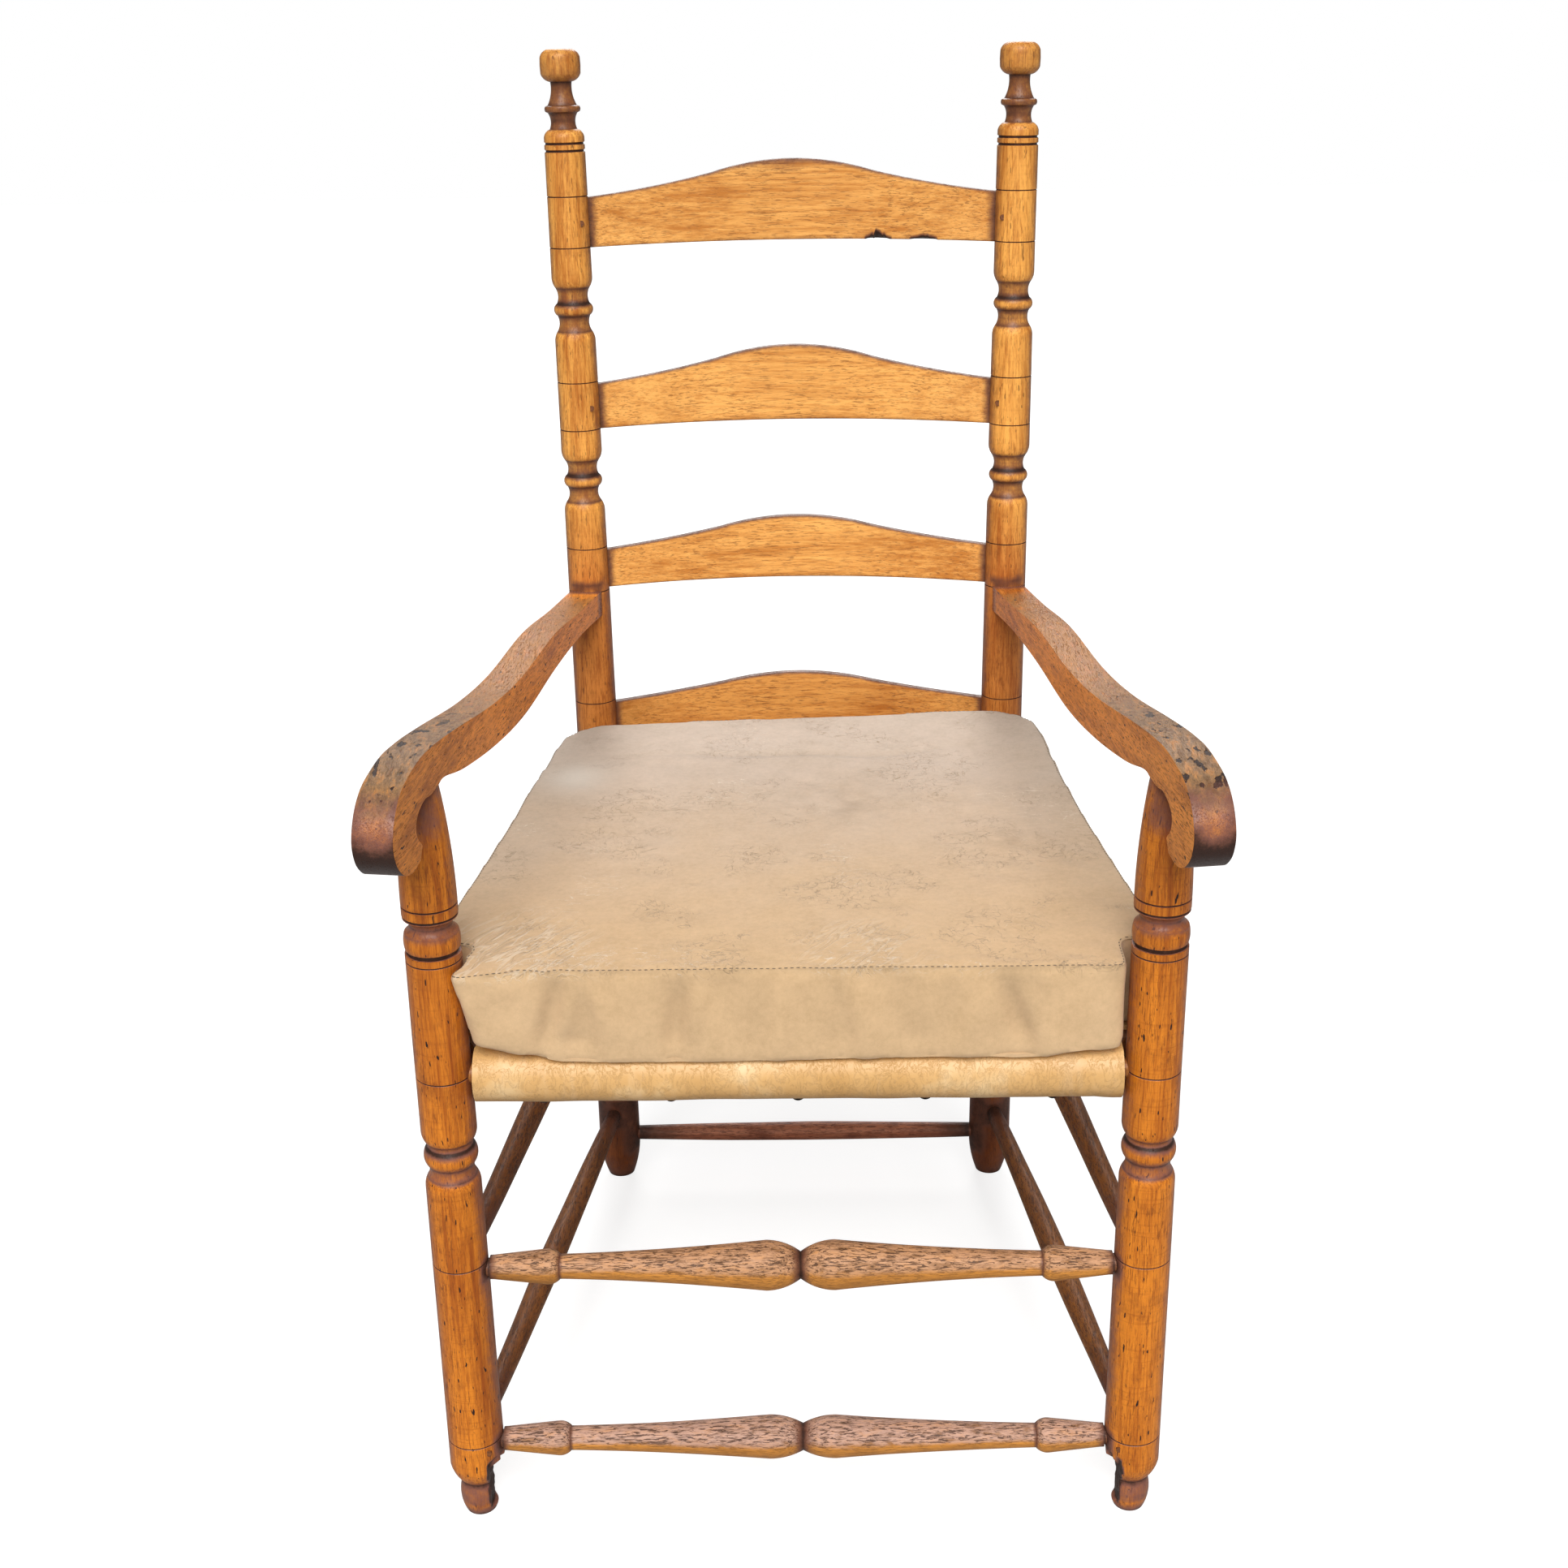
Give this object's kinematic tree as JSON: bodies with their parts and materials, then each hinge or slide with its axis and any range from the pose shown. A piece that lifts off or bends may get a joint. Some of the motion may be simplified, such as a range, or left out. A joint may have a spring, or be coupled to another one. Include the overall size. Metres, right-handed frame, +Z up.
{
  "type": "ladder-back armchair",
  "caption": "Antique ladder-back armchair with turned posts, arched back slats, scrolled arms, turned stretchers, a tacked leather seat and a loose nubuck cushion.",
  "frame": {"origin": "on the floor, under the middle of the chair's box", "axes": "+Z up, -Y towards the front of the chair, +X to the viewer's right from the front"},
  "size_m": [0.6108, 0.714, 1.149],
  "materials": {
    "maple": "aged satin varnish",
    "oak": "aged satin varnish",
    "dark_wood": "worn, dull",
    "peg_wood": "worn, dull",
    "seat_hide": "semi-gloss",
    "iron": "dull",
    "nubuck": "matt nap"
  },
  "bodies": {
    "frame": {"back_post_left": "maple", "back_post_right": "maple", "front_post_left": "maple", "front_post_right": "maple", "arm_left": "maple", "arm_right": "maple", "top_slat": "oak", "second_slat": "oak", "third_slat": "oak", "bottom_slat": "oak", "front_stretcher_upper": "oak", "front_stretcher_lower": "oak", "side_stretcher_left_upper": "dark_wood", "side_stretcher_left_lower": "dark_wood", "side_stretcher_right_upper": "dark_wood", "side_stretcher_right_lower": "dark_wood", "back_stretcher": "dark_wood", "seat_rail_front": "dark_wood", "seat_rail_back": "dark_wood", "seat_rail_left": "dark_wood", "seat_rail_right": "dark_wood", "slat_pegs": "peg_wood", "arm_pegs": "peg_wood", "stretcher_pegs": "peg_wood", "seat_leather": "seat_hide", "leather_tacks": "iron"},
    "cushion": {"seat_cushion": "nubuck"}
  },
  "joints": [
    {"name": "cushion_lift", "type": "slide", "parent": "frame", "child": "cushion", "axis": [0, 0, 1], "range_m": [0, 0.08]}
  ]
}
